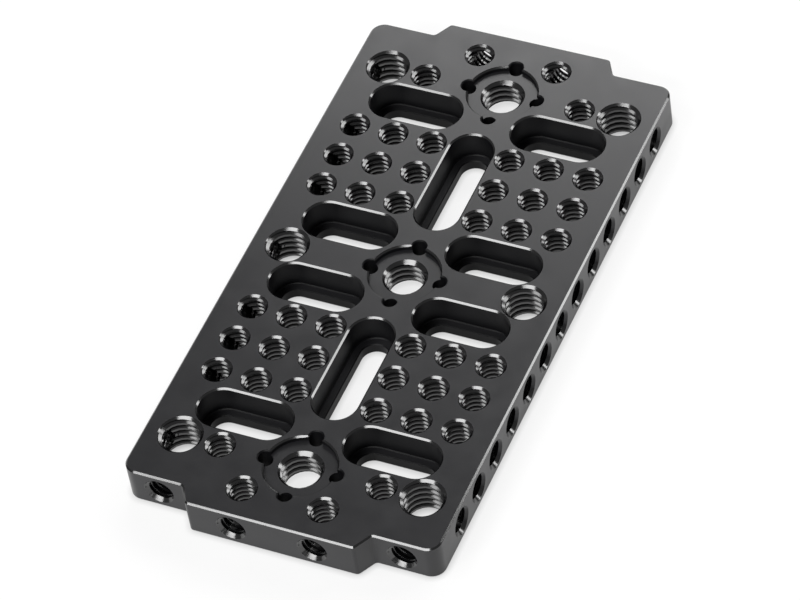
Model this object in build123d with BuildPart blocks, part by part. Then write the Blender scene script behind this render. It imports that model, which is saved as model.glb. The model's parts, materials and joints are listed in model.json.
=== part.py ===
"""Cheese plate for camera rigs: one aluminium bar, milled to outline, drilled, tapped and anodised black.

Frame: millimetres, origin at the centre of the underside, X across the plate, Y along it, Z up.
All the holes stand on one square grid about the centre. Apart from the slots, which are wide from the top face
and narrow below, the two faces are the same.
Tapped holes have their tap drill size, so the thread itself isn't cut here.
"""

import os
from math import radians, tan

from build123d import *

# The plate
hole_spacing = 9.0              # between neighbouring holes, one square grid for the whole plate
plate_thickness = 9.0
end_margin = 7.0                # last row of holes to the end of the tongue
side_margin = 8.0               # last column of holes to the long side
tongue_width = 37.3             # at the tip of the tongue, measured between its sharp corners
shoulder_drop = 4.0             # the ears stop this far short of the tongue's end
shoulder_angle = 30.0           # of the tongue's flanks, from the length of the plate
ear_radius = 3.0
tongue_radius = 1.0             # outer corners of the tongue
shoulder_radius = 1.0           # inner corners where the flanks meet the ears
edge_break = 0.35               # chamfer along every edge of the two faces

# Columns and rows of the grid, in steps of the hole spacing from the centre
side_column_steps = 3
centre_row_steps = 3            # middle row of each block of tapped holes, and centre of each long slot
block_column_steps = 2          # middle column of each block
corner_row_steps = 6
tongue_row_steps = 7

# Tapped holes
quarter_drill_diameter = 5.1    # tap drill of a 1/4-20 thread
quarter_rim_diameter = 6.65     # mouth of its countersink
large_drill_diameter = 7.94     # tap drill of a 3/8-16 thread
large_rim_diameter = 9.7
drill_point_angle = 118.0
edge_hole_depth = 6.4           # full diameter of the blind holes in the sides and ends
overcut = 0.5                   # how far a cutter stands out of the face it enters

# Locating seats round the three 3/8-16 holes on the centre line
seat_diameter = 15.2
seat_depth = 1.2
pin_circle_diameter = 15.74     # two pins stand this far apart
pin_diameter = 3.1
pin_rim_diameter = 3.6

# Slots: a wide pocket for the head of a screw, and a narrow slot on through for its shank
slot_width = 9.9
slot_pocket_depth = 6.5
slot_throat_width = 6.4         # clears a 1/4 inch screw
slot_corner_break = 0.2         # on both edges of the ledge and on the throat's lower edge
long_slot_travel = 18.0         # between the centres of the slot's two round ends
cross_slot_travel = 11.0
cross_slot_start = 11.0         # centre line of the plate to the slot's first round end

plate_length = 2 * (tongue_row_steps * hole_spacing + end_margin)
plate_width = 2 * (side_column_steps * hole_spacing + side_margin)
ear_length = plate_length - 2 * shoulder_drop
flank_spread = shoulder_drop * tan(radians(shoulder_angle))
mid_height = plate_thickness / 2
ledge_height = plate_thickness - slot_pocket_depth
cross_slot_x = cross_slot_start + cross_slot_travel / 2
block_spread = 2 * block_column_steps * hole_spacing
corner_spread = 2 * corner_row_steps * hole_spacing


def tapped_hole(drill, rim, depth, blind=False):
    """Cutter for one tapped hole: its mouth is at the origin and it runs down -Z."""
    sink = (rim - drill) / 2
    wall, mouth = drill / 2, rim / 2 + overcut
    if blind:
        point = wall / tan(radians(drill_point_angle / 2))
        bottom = [(wall, -depth), (0, -depth - point)]
    else:
        bottom = [(wall, sink - depth), (mouth, -depth - overcut), (0, -depth - overcut)]
    with BuildPart() as cutter:
        with BuildSketch(Plane.XZ):
            with BuildLine():
                Polyline((0, overcut), (mouth, overcut), (wall, -sink), *bottom, close=True)
            make_face()
        revolve(axis=Axis.Z)
    return cutter.part


def slots(width):
    """Outlines of all the slots at one width, on the plane of the underside."""
    with BuildSketch() as outlines:
        with GridLocations(hole_spacing, 2 * centre_row_steps * hole_spacing, 1, 2):
            SlotCenterToCenter(long_slot_travel, width, rotation=90)
            with GridLocations(2 * cross_slot_x, 4 * hole_spacing, 2, 2):
                SlotCenterToCenter(cross_slot_travel, width)
    return outlines.sketch


quarter_through = tapped_hole(quarter_drill_diameter, quarter_rim_diameter, plate_thickness)
quarter_blind = tapped_hole(quarter_drill_diameter, quarter_rim_diameter, edge_hole_depth, blind=True)
large_through = tapped_hole(large_drill_diameter, large_rim_diameter, plate_thickness)
large_in_seat = tapped_hole(large_drill_diameter, large_rim_diameter, plate_thickness - 2 * seat_depth)
pin_through = tapped_hole(pin_diameter, pin_rim_diameter, plate_thickness)
pockets = slots(slot_width)
throats = slots(slot_throat_width)

with BuildPart() as plate:
    # Outline, one quarter drawn and mirrored twice
    with BuildSketch():
        with BuildLine():
            Polyline(
                (0, plate_length / 2),
                (tongue_width / 2, plate_length / 2),
                (tongue_width / 2 + flank_spread, ear_length / 2),
                (plate_width / 2, ear_length / 2),
                (plate_width / 2, 0),
            )
            mirror(about=Plane.YZ)
            mirror(about=Plane.XZ)
        make_face()
        corners = vertices().group_by(Axis.Y)
        fillet(corners[0] + corners[-1], tongue_radius)
        corners = vertices().filter_by(lambda v: abs(abs(v.Y) - ear_length / 2) < 1e-4)
        fillet(corners.filter_by(lambda v: abs(v.X) > plate_width / 2 - 1e-4), ear_radius)
        corners = vertices().filter_by(lambda v: abs(abs(v.X) - tongue_width / 2 - flank_spread) < 1e-4)
        fillet(corners, shoulder_radius)
    extrude(amount=plate_thickness)

    # Pockets of the slots, two long ones on the centre line and eight across it
    with BuildSketch(Plane.XY.offset(ledge_height)):
        add(pockets)
    extrude(amount=slot_pocket_depth, mode=Mode.SUBTRACT)

    # Round locating seats, sunk in both faces
    with BuildSketch(Plane.XY, Plane.XY.offset(plate_thickness - seat_depth)):
        with GridLocations(hole_spacing, corner_row_steps * hole_spacing, 1, 3):
            Circle(seat_diameter / 2)
    extrude(amount=seat_depth, mode=Mode.SUBTRACT)

    # One small chamfer round every edge of the two faces
    outer_faces = faces().filter_by(Axis.Z).filter_by(
        lambda f: abs(abs(f.center().Z - mid_height) - mid_height) < 1e-4
    )
    chamfer(outer_faces.edges(), edge_break)

    # Throats of the slots, through the ledges that the pockets leave
    add(throats)
    extrude(amount=ledge_height, mode=Mode.SUBTRACT)
    chamfer(edges(Select.LAST).filter_by(lambda e: abs(e.center().Z) < 1e-4), slot_corner_break)
    ledges = faces().filter_by(Axis.Z).filter_by(lambda f: abs(f.center().Z - ledge_height) < 1e-4)
    chamfer(ledges.edges(), slot_corner_break)

    # Tapped holes through the plate
    top = Plane.XY.offset(plate_thickness)
    with Locations(top):
        with GridLocations(block_spread, 2 * centre_row_steps * hole_spacing, 2, 2):
            with GridLocations(hole_spacing, hole_spacing, 3, 3):
                add(quarter_through, mode=Mode.SUBTRACT)
        with GridLocations(block_spread, corner_spread, 2, 2):
            add(quarter_through, mode=Mode.SUBTRACT)
        with GridLocations(2 * hole_spacing, 2 * tongue_row_steps * hole_spacing, 2, 2):
            add(quarter_through, mode=Mode.SUBTRACT)
        with GridLocations(2 * side_column_steps * hole_spacing, corner_row_steps * hole_spacing, 2, 3):
            add(large_through, mode=Mode.SUBTRACT)
        with GridLocations(hole_spacing, corner_row_steps * hole_spacing, 1, 3):
            with PolarLocations(pin_circle_diameter / 2, 4):
                add(pin_through, mode=Mode.SUBTRACT)
    with Locations(top.offset(-seat_depth)):
        with GridLocations(hole_spacing, corner_row_steps * hole_spacing, 1, 3):
            add(large_in_seat, mode=Mode.SUBTRACT)

    # Blind tapped holes along the sides and in the ends, at half the thickness
    for sign in (-1, 1):
        side = Plane((sign * plate_width / 2, 0, mid_height), x_dir=(0, 1, 0), z_dir=(sign, 0, 0))
        ears = Plane((0, sign * ear_length / 2, mid_height), x_dir=(1, 0, 0), z_dir=(0, sign, 0))
        tongue = Plane((0, sign * plate_length / 2, mid_height), x_dir=(1, 0, 0), z_dir=(0, sign, 0))
        with Locations(side):
            with GridLocations(hole_spacing, hole_spacing, 2 * corner_row_steps + 1, 1):
                add(quarter_blind, mode=Mode.SUBTRACT)
        with Locations(ears):
            with GridLocations(2 * side_column_steps * hole_spacing, hole_spacing, 2, 1):
                add(quarter_blind, mode=Mode.SUBTRACT)
        with Locations(tongue):
            with GridLocations(2 * hole_spacing, hole_spacing, 2, 1):
                add(quarter_blind, mode=Mode.SUBTRACT)

plate.part.label = "plate"

os.makedirs("parts", exist_ok=True)
export_step(plate.part, "parts/plate.step")
print("plate", plate.part.bounding_box().size, "volume", round(plate.part.volume), "mm3")
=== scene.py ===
# %% [markdown]
# # A cheese plate: threads and black anodising on a CAD frame
#
# The object is one bar of aluminium, milled to outline, slotted, drilled, tapped and anodised black. The
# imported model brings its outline, slots, seats, chamfers and tap drill holes. This script cuts the threads,
# gives the metal its finish, and sets up a small studio with the camera where the photographer stood.

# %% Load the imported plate
import json
from math import ceil, pi, radians, tan

import bmesh
import bpy
from mathutils import Matrix, Vector


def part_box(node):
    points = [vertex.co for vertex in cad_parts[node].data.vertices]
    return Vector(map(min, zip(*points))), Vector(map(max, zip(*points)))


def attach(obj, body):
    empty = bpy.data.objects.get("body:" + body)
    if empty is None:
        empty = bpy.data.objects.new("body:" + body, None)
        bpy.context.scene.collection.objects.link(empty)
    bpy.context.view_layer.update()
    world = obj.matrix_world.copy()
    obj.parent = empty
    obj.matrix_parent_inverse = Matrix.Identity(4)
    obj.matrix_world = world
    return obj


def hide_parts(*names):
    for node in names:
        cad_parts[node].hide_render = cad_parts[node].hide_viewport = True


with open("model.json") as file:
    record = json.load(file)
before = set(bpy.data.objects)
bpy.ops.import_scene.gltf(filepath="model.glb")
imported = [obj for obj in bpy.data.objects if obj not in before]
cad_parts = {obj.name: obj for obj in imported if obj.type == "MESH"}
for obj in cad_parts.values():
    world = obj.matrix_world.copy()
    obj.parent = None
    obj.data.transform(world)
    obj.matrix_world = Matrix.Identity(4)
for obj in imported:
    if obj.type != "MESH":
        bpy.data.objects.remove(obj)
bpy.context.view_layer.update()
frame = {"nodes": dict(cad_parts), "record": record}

MM = 0.001                          # metres in a millimetre

cad_plate = frame["nodes"]["plate"]
low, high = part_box("plate")
thickness = high.z
print("plate", [round(side / MM, 2) for side in high - low], "mm,", len(cad_plate.data.polygons), "faces")

# %% [markdown]
# ## Where the threads go
#
# On the real plate a tap follows each drill, so every thread sits exactly on a hole that is already there.
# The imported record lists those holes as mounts, with their place, axis and wall radius. Reading them keeps
# the threads on the holes, where typing the places again could let them drift apart. The radius says which
# thread a hole has. The 3 mm locating pin holes have no thread, so they aren't in the table.

# %% List the tapped holes
# all in mm, by the wall radius of the tap drill: the radii of the thread's root and crest, its pitch, and
# the radius of the hole's mouth
THREADS = {
    2.55: {"name": "quarter inch, 20 turns to the inch",
           "major": 3.175, "minor": 2.60, "pitch": 1.27, "rim": 3.325},
    3.97: {"name": "three eighths, 16 turns to the inch",
           "major": 4.7625, "minor": 4.04, "pitch": 1.5875, "rim": 4.85},
}


def pattern_places(mount):
    """Centres of a mount's holes, in metres."""
    centre, dims = Vector(mount["pos_m"]), mount["dims"]
    across = [axis for axis, along in zip(Matrix.Identity(3), mount["axis"]) if not along]
    places = [centre]
    for direction, key in zip(across, ("spacing_x_mm", "spacing_y_mm")):
        half = direction * dims.get(key, 0.0) * MM / 2
        if half.length:
            places = [place + sign * half for place in places for sign in (-1, 1)]
    return places


tapped_holes = []
for mount in frame["record"]["mounts"]:
    thread = THREADS.get(mount["dims"].get("r_mm", mount["dims"].get("hole_r_mm")))
    if thread:
        tapped_holes += [(place, Vector(mount["axis"]), thread) for place in pattern_places(mount)]

for thread in THREADS.values():
    print(sum(hole[2] is thread for hole in tapped_holes), "holes of", thread["name"])

# %% [markdown]
# ## One thread, made the way a tap cuts it
#
# A tap's tooth is a 60 degree V with a narrow flat at its tip, and each turn moves it on by one pitch. The
# same thing can be said to Blender in one step: spin draws the tooth's profile round the hole's axis and
# lifts it a little at each step, which gives a helix. After one turn the profile lands on its own start, so
# merging the doubles joins the turns to one threaded rod. The rod is a tool for a boolean cut. A bump or a
# stack of rings would be lighter, but a bump has no outline at the mouth of a hole, and rings don't climb.

# %% Make a threaded rod
STEPS_PER_TURN = 20
FLANK_ANGLE = radians(30)           # of each side of the V, from the plane across the axis
TIP_FLAT = 1 / 8                    # width of the tooth's flat tip, as a share of the pitch
BLIND_ROD = 6.0 * MM                # from just outside a mouth, short of the drilled end by whole turns
MERGE = 0.001 * MM                  # points closer than this are one


def threaded_rod(thread, length):
    """A closed rod with a right-hand thread on it, from z = 0 up, at least as long as length."""
    minor, major, pitch = (thread[key] * MM for key in ("minor", "major", "pitch"))
    flank = (major - minor) * tan(FLANK_ANGLE)
    tip = pitch * TIP_FLAT
    profile = [(minor, 0), (major, flank), (major, flank + tip), (minor, 2 * flank + tip), (minor, pitch)]
    turns = ceil(length / pitch)

    rod = bmesh.new()
    points = [rod.verts.new((radius, 0, z)) for radius, z in profile]
    lines = [rod.edges.new(pair) for pair in zip(points, points[1:])]
    bmesh.ops.spin(rod, geom=points + lines, cent=(0, 0, 0), axis=(0, 0, 1), use_duplicate=False,
                   angle=2 * pi * turns, steps=STEPS_PER_TURN * turns, dvec=(0, 0, pitch / STEPS_PER_TURN))
    bmesh.ops.remove_doubles(rod, verts=rod.verts, dist=MERGE)

    # each open end is drawn together to one point on the axis
    open_edges = [edge for edge in rod.edges if edge.is_boundary]
    middle = turns * pitch / 2
    for end in (1, -1):
        rim = [edge for edge in open_edges if end * (edge.verts[0].co.z - middle) > 0]
        extruded = bmesh.ops.extrude_edge_only(rod, edges=rim)["geom"]
        new_verts = [item for item in extruded if isinstance(item, bmesh.types.BMVert)]
        height = sum(vert.co.z for vert in new_verts) / len(new_verts)
        bmesh.ops.pointmerge(rod, verts=new_verts, merge_co=(0, 0, height))
    bmesh.ops.recalc_face_normals(rod, faces=rod.faces)

    mesh = bpy.data.meshes.new("threaded_rod")
    rod.to_mesh(mesh)
    rod.free()
    return mesh


for thread in THREADS.values():
    through_rod = threaded_rod(thread, thickness + 2 * thread["pitch"] * MM)
    blind_rod = threaded_rod(thread, BLIND_ROD)
    thread["rods"] = {"through": through_rod, "blind": blind_rod}
    print(thread["name"], len(through_rod.polygons), "faces on a rod")

# %% [markdown]
# ## A copy of the plate to cut
#
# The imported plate's mesh is loose triangles, and it stays as it is. A copy of it is merged to one closed
# skin, because a boolean needs to know inside from outside. The copy stands for the plate from here on.

# %% Copy and merge the plate
def new_piece(name, source):
    """An object at the origin that holds the bmesh source."""
    mesh = bpy.data.meshes.new(name)
    source.to_mesh(mesh)
    source.free()
    piece = bpy.data.objects.new(name, mesh)
    bpy.context.scene.collection.objects.link(piece)
    return piece


skin = bmesh.new()
skin.from_mesh(cad_plate.data)
bmesh.ops.remove_doubles(skin, verts=skin.verts, dist=MERGE / 2)
closed = all(edge.is_manifold for edge in skin.edges)
print("copy of the plate:", len(skin.faces), "faces, all closed:", closed)
plate = new_piece("tapped_plate", skin)
# the stored normals belong to the loose triangles
plate.data.attributes.remove(plate.data.attributes["custom_normal"])

# %% [markdown]
# ## Cutting the threads
#
# The rods are put on the holes' axes and taken away from the plate. Holes from the sides and ends run into
# the holes that go through, so the rods are cut in three rounds, in which no two rods touch. The rods are a
# hair wider than the drilled wall, so they take that wall away whole and leave no slivers of it.

# %% Cut each group of holes
BLASTED, AS_CUT, MILLED_PAINTED_SHADE = 0, 1, 2   # slots of the three finishes on the plate
MOUNT_INSET = 3.0 * MM              # the record's point of a blind hole lies this far inside its mouth
OUT_OF_MOUTH = 3.2 * MM             # from that point, outwards to a little past the mouth
ROUNDS = {"through": Vector((0, 0, 1)), "sides": Vector((1, 0, 0)), "ends": Vector((0, 1, 0))}


def rod_place(place, axis, thread):
    """Matrix that puts a rod into a hole. It starts outside the mouth and runs inwards."""
    turn = axis.to_track_quat("-Z", "Y").to_matrix().to_4x4()
    if axis.z:
        mouth = Vector((place.x, place.y, thickness + thread["pitch"] * MM))
    else:
        mouth = place + axis * OUT_OF_MOUTH
    return Matrix.Translation(mouth) @ turn


for name, direction in ROUNDS.items():
    rods = bmesh.new()
    for place, axis, thread in tapped_holes:
        if abs(axis.dot(direction)) > 0.5:    # this hole runs along the round's direction
            first = len(rods.verts)
            rods.from_mesh(thread["rods"]["through" if axis.z else "blind"])
            rods.verts.ensure_lookup_table()
            bmesh.ops.transform(rods, matrix=rod_place(place, axis, thread), verts=rods.verts[first:])
    for face in rods.faces:
        face.material_index = AS_CUT
    cutter = new_piece("rods_" + name, rods)

    cut = plate.modifiers.new("thread", "BOOLEAN")
    cut.operation, cut.solver, cut.object = "DIFFERENCE", "MANIFOLD", cutter
    cut_mesh = bpy.data.meshes.new_from_object(plate.evaluated_get(bpy.context.evaluated_depsgraph_get()))
    plate.modifiers.remove(cut)
    plate.data = cut_mesh
    bpy.data.objects.remove(cutter)
    print(name, "cut:", len(cut_mesh.polygons), "faces")

# %% [markdown]
# ## Which face has which finish
#
# The real plate is milled, blasted to an even satin, and gets its threads, chamfers and countersinks after
# that, so they keep the shine of the cutter. The walls of the slots and seats keep the marks of the mill's
# side, and their finish is also given a darker colour and a weak gloss, as painted shade for the inside of
# the slots, seats and holes. In the photograph the pin holes are black to the rim too, so their countersinks
# get the same painted shade, and the mouths of the holes in the long sides are as dull as the side itself.
# The threads already carry the second slot from their rods. Plain tests on a face's centre and normal sort
# out the rest.

# %% Sort the faces
half_width = high.x
EAR_END = 66.0 * MM                 # half the length without the tongues
CORNER = 3.0 * MM                   # radius of the outer corners
CLOSE = 0.1 * MM                    # a face with its centre this near the outline lies on it
BREAK_DEPTH = 2.2 * MM              # seat depth and a countersink, from either large face
PIN_RIM = 1.9 * MM                  # just outside the countersink of a locating pin's hole
FLAT = 0.95                         # upward part of the normal, in a face that lies nearly flat
SLANTED = 0.3                       # the same, in a chamfer or a countersink
SQUARE = 0.98                       # largest part of the normal, in a face square to the plate's sides
SHARP = radians(30)                 # an edge that turns more than this is drawn sharp
QUARTER_TURNS = [Matrix.Rotation(quarter * pi / 2, 3, "Z") for quarter in range(4)]

mouths = []
for place, axis, thread in tapped_holes:
    if not axis.z:
        mouths.append((place + axis * MOUNT_INSET, thread["rim"] * MM))

pin_holes = []
for mount in frame["record"]["mounts"]:
    if "pcd_mm" in mount["dims"]:
        arm = Vector((mount["dims"]["pcd_mm"] * MM / 2, 0, 0))
        pin_holes += [Vector(mount["pos_m"]) + turn @ arm for turn in QUARTER_TURNS]


def near_pin(face):
    """Whether a face belongs to the hole of a locating pin."""
    return any((face.center - pin).xy.length < PIN_RIM for pin in pin_holes)


def finish_of(face):
    """Material slot of a face that no rod has cut."""
    x, y, z = (abs(part) for part in face.center)
    depth = min(z, thickness - z)
    slant = abs(face.normal.z)
    if slant > FLAT:
        return BLASTED
    if slant > SLANTED and depth < BREAK_DEPTH:
        # a pin hole's countersink takes the milled finish, whose dark colour and weak gloss paint shade where
        # it would glint
        return MILLED_PAINTED_SHADE if near_pin(face) else AS_CUT
    if any((face.center - mouth).length < rim for mouth, rim in mouths):
        along = max(abs(part) for part in face.normal)
        return BLASTED if along > SQUARE or x > half_width - BREAK_DEPTH else AS_CUT
    on_corner = x > half_width - CORNER and y > EAR_END - CORNER
    on_outline = x > half_width - CLOSE or y > EAR_END - CLOSE or on_corner
    # faces off the outline lie inside slots, seats and holes; the milled finish paints shade on them
    return BLASTED if on_outline else MILLED_PAINTED_SHADE


face_slots = [AS_CUT if face.material_index == AS_CUT else finish_of(face) for face in plate.data.polygons]
plate.data.shade_smooth()
plate.data.set_sharp_from_angle(angle=SHARP)
triangles = sum(len(face.vertices) - 2 for face in plate.data.polygons)
print([face_slots.count(slot) for slot in (BLASTED, AS_CUT, MILLED_PAINTED_SHADE)],
      "faces blasted, as cut and milled;", triangles, "triangles")

# %% [markdown]
# ## Colours and nodes
#
# Colours are written as sRGB hex values, the way a colour picker gives them, and one function turns them to
# the linear values that Blender's shaders work in. One more function adds a node, sets it and links it.

# %% Helpers for materials
def linear(code):
    """Linear RGBA of an sRGB hex colour such as "202022"."""
    parts = [int(code[start:start + 2], 16) / 255 for start in (0, 2, 4)]
    return [part / 12.92 if part <= 0.04045 else ((part + 0.055) / 1.055) ** 2.4 for part in parts] + [1.0]


def add_node(tree, kind, settings=None, inputs=None):
    """Adds a node. settings are its own properties, inputs are values or sockets for its inputs."""
    node = tree.nodes.new(kind)
    for name, value in (settings or {}).items():
        setattr(node, name, value)
    for name, value in (inputs or {}).items():
        if isinstance(value, bpy.types.NodeSocket):
            tree.links.new(value, node.inputs[name])
        else:
            node.inputs[name].default_value = value
    return node


def new_material(name):
    """An empty node material and its tree."""
    material = bpy.data.materials.new(name)
    material.use_nodes = True
    material.node_tree.nodes.clear()
    return material, material.node_tree


print("sRGB 222224 is", [round(part, 4) for part in linear("222224")[:3]], "in linear values")

# %% [markdown]
# ## Black anodised aluminium
#
# Anodising grows a clear, hard oxide film out of the metal, and a black dye fills its pores. The eye gets
# no metal colour through it: it sees a nearly black body under a thin dielectric gloss, so metallic is 0.
# What differs from face to face is how the metal was worked before the film grew on it:
#
# - blasted with fine beads: satin, a little greyer, slightly uneven from place to place
# - as cut by the tap, the countersink and the chamfer mill: smooth, with a dense film, so it glints
# - milled with the side of the cutter, inside the slots, seats and holes: rougher, with a darker colour and a
#   weak gloss that are painted shade for those hollows
#
# The oxide's own index is about 1.6 to 1.8. It stays high on the smooth faces and is lower on the blasted
# and milled ones, where the pores and pits hold air. One recipe with other numbers does for all three, so a
# function makes them.

# %% Make the three finishes
CLOUD_SIZE = 6 * MM                 # patches of slightly duller or brighter film
NOISE_LOW, NOISE_HIGH = 0.3, 0.7    # nearly all of a noise lies between these


def anodised(name, colour, ior, gloss, roughness, cloud, grain_mm, grain_height_mm):
    """Black anodic film.

    gloss is 0.5 for the full gloss of its index, and cloud is how far the roughness wanders. grain_mm is
    the size of the surface's pits, drawn about three times as coarse as they are, so that they show.
    """
    material, tree = new_material(name)
    place = add_node(tree, "ShaderNodeTexCoord").outputs["Object"]
    grain = add_node(tree, "ShaderNodeTexNoise", inputs={
        "Vector": place, "Scale": 1 / (grain_mm * MM), "Detail": 2.0, "Roughness": 0.6})
    clouds = add_node(tree, "ShaderNodeTexNoise", inputs={
        "Vector": place, "Scale": 1 / CLOUD_SIZE, "Detail": 2.0, "Roughness": 0.55})
    rough = add_node(tree, "ShaderNodeMapRange", inputs={
        "Value": clouds.outputs["Fac"], "From Min": NOISE_LOW, "From Max": NOISE_HIGH,
        "To Min": roughness - cloud, "To Max": roughness + cloud})
    bump = add_node(tree, "ShaderNodeBump", inputs={
        "Height": grain.outputs["Fac"], "Strength": 1.0, "Distance": grain_height_mm * MM})
    body = add_node(tree, "ShaderNodeBsdfPrincipled", inputs={
        "Base Color": linear(colour), "Metallic": 0.0, "IOR": ior, "Specular IOR Level": gloss,
        "Roughness": rough.outputs["Result"], "Normal": bump.outputs["Normal"]})
    add_node(tree, "ShaderNodeOutputMaterial", inputs={"Surface": body.outputs["BSDF"]})
    return material


finishes = [
    anodised("black_anodising_blasted", "222224", ior=1.46, gloss=0.5, roughness=0.32, cloud=0.04,
             grain_mm=0.25, grain_height_mm=0.003),
    anodised("black_anodising_as_cut", "0c0c0d", ior=1.8, gloss=0.5, roughness=0.17, cloud=0.01,
             grain_mm=0.4, grain_height_mm=0.0002),
    # painted shade: the milled finish's dark colour and weak gloss stand in for the shade inside slots, seats
    # and holes
    anodised("black_anodising_milled_painted_shade", "0e0e10", ior=1.5, gloss=0.14, roughness=0.45, cloud=0.04,
             grain_mm=0.3, grain_height_mm=0.002),
]
plate.data.materials.clear()
for finish in finishes:
    plate.data.materials.append(finish)
# clearing the materials has set every face to the first slot
plate.data.polygons.foreach_set("material_index", face_slots)
print("finishes:", [material.name for material in plate.data.materials])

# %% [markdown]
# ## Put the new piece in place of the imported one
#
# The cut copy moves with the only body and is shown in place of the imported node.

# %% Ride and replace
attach(plate, "root")
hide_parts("plate")
print(plate.name, "stands for the node plate")

# %% [markdown]
# ## White table and background
#
# The photograph has a seamless white ground with a thin shadow under the plate. More lamps would make the
# table white, but would also wash out the black plate. So the table is a mid grey sheet, and a glow that is
# there only for the camera and in reflections brings it up to white. A glow alone would wipe out the thin
# shadow along the plate's foot. So ambient occlusion dims it where the plate stands within 1.5 mm, and the
# rest of the shadow falls on the light that the grey scatters. The room above is dark: a satin black face
# that mirrors it looks black, as on a photographer's table.

# %% Floor and world
def seen_directly(tree):
    """1 for rays from the camera, in a reflection or through glass, else 0."""
    rays = add_node(tree, "ShaderNodeLightPath").outputs
    both = add_node(tree, "ShaderNodeMath", {"operation": "MAXIMUM"},
                    {0: rays["Is Camera Ray"], 1: rays["Is Glossy Ray"]})
    return add_node(tree, "ShaderNodeMath", {"operation": "MAXIMUM"},
                    {0: both.outputs[0], 1: rays["Is Transmission Ray"]}).outputs[0]


def lit_table(size, gap, colour, glow, shade_reach, shade_depth):
    """A sheet that lies gap under the plate. glow is what it adds for the camera and for reflections."""
    sheet = bmesh.new()
    bmesh.ops.create_grid(sheet, x_segments=1, y_segments=1, size=size / 2,
                          matrix=Matrix.Translation((0, 0, -gap)))
    floor = new_piece("white_table", sheet)
    material, tree = new_material("white_table_top")
    scatter = add_node(tree, "ShaderNodeBsdfDiffuse", inputs={"Color": linear(colour)})
    shade = add_node(tree, "ShaderNodeAmbientOcclusion", inputs={"Distance": shade_reach})
    kept = add_node(tree, "ShaderNodeMapRange", inputs={
        "Value": shade.outputs["AO"], "To Min": 1 - shade_depth, "To Max": 1.0})
    seen = add_node(tree, "ShaderNodeMath", {"operation": "MULTIPLY"}, {0: seen_directly(tree), 1: glow})
    strength = add_node(tree, "ShaderNodeMath", {"operation": "MULTIPLY"},
                        {0: seen.outputs[0], 1: kept.outputs["Result"]})
    light = add_node(tree, "ShaderNodeEmission", inputs={"Strength": strength.outputs[0]})
    both = add_node(tree, "ShaderNodeAddShader", inputs={0: scatter.outputs[0], 1: light.outputs[0]})
    add_node(tree, "ShaderNodeOutputMaterial", inputs={"Surface": both.outputs[0]})
    floor.data.materials.append(material)


TABLE_GREY = "808080"
TABLE_GLOW = 0.8
# the gap keeps the sheet and the underside from lying in one plane
lit_table(size=4.0, gap=0.05 * MM, colour=TABLE_GREY, glow=TABLE_GLOW,
          shade_reach=1.5 * MM, shade_depth=0.5)

AMBIENT = 0.05                      # light of the world on the plate
ROOM_SEEN = 0.25                    # what the plate mirrors above the table
world = bpy.data.worlds.new("studio_room")
bpy.context.scene.world = world
world.use_nodes = True
world.node_tree.nodes.clear()
level = add_node(world.node_tree, "ShaderNodeMapRange", inputs={
    "Value": seen_directly(world.node_tree), "To Min": AMBIENT, "To Max": ROOM_SEEN})
room = add_node(world.node_tree, "ShaderNodeBackground", inputs={"Strength": level.outputs["Result"]})
add_node(world.node_tree, "ShaderNodeOutputWorld", inputs={"Surface": room.outputs[0]})
print("table under a plain light, where 1 is white:", round(linear(TABLE_GREY)[0] + TABLE_GLOW, 2))

# %% [markdown]
# ## Lamps
#
# Black anodising is drawn by what it mirrors, so each soft box stands where some kind of face mirrors it to
# the camera. With n the face's normal and v the way to the camera, that place lies along 2 (n . v) n - v:
#
# - the top face mirrors a box behind the plate, which is why it pales towards the far end
# - chamfers and countersinks that face the front mirror a wide box in front
# - the upper flanks of the threads, seen on the right of each hole, mirror a box on the left
# - chamfers and flanks that face right mirror two smaller boxes at the back right
# - thread crests in the end holes mirror a low strip in front
#
# Bright small boxes make the glints without much light. The last line adds up what reaches the top face:
# near 1, a colour renders as it is written.

# %% Soft boxes
def soft_box(name, direction, distance, size, radiance):
    """An area lamp that looks at the plate, and the light it gives there.

    direction leads from the plate to the lamp, and radiance is how bright its face is, where 1 is white.
    """
    data = bpy.data.lights.new(name, "AREA")
    data.shape, data.size, data.size_y = "RECTANGLE", size[0], size[1]
    data.energy = radiance * pi * size[0] * size[1]
    lamp = bpy.data.objects.new(name, data)
    towards = Vector(direction).normalized()
    lamp.location = towards * distance
    lamp.rotation_euler = towards.to_track_quat("Z", "Y").to_euler()
    bpy.context.scene.collection.objects.link(lamp)
    return radiance * size[0] * size[1] * towards.z / (pi * distance ** 2)


level_light = AMBIENT
level_light += soft_box("box_behind", (-0.035, 0.41, 0.28), 0.50, (0.48, 0.20), 5.8)
level_light += soft_box("box_front", (-0.06, -0.79, 0.585), 1.0, (0.90, 0.28), 9.0)
level_light += soft_box("box_left", (-0.42, -0.33, 0.85), 1.0, (0.60, 0.25), 5.0)
level_light += soft_box("box_back_right", (0.476, 0.574, 0.666), 1.0, (0.25, 0.25), 6.0)
level_light += soft_box("box_back_right_low", (0.745, 0.574, 0.339), 1.0, (0.25, 0.20), 8.0)
level_light += soft_box("box_front_low", (0.10, -0.60, 0.06), 0.7, (0.50, 0.10), 4.0)
print("light on a level face, where 1 renders a colour as written:", round(level_light, 2))

# %% [markdown]
# ## Camera
#
# The place of the camera was worked out from the hole grid, which is square on the real plate. It stands
# nearly a metre away with a long lens, so the plate's sides stay almost parallel.

# %% Camera of the photograph
view = bpy.data.cameras.new("camera")
view.sensor_width = 36.0
view.lens = 204.55
camera = bpy.data.objects.new("camera", view)
camera.location = (0.32141, -0.54479, 0.71578)
camera.rotation_euler = [radians(angle) for angle in (41.0624, 6.6612, 23.1284)]
bpy.context.scene.collection.objects.link(camera)
bpy.context.scene.camera = camera
bpy.context.scene.view_settings.view_transform = "Standard"
print("camera is", round((camera.location - Vector((0, 0, thickness))).length, 3), "m from the plate")
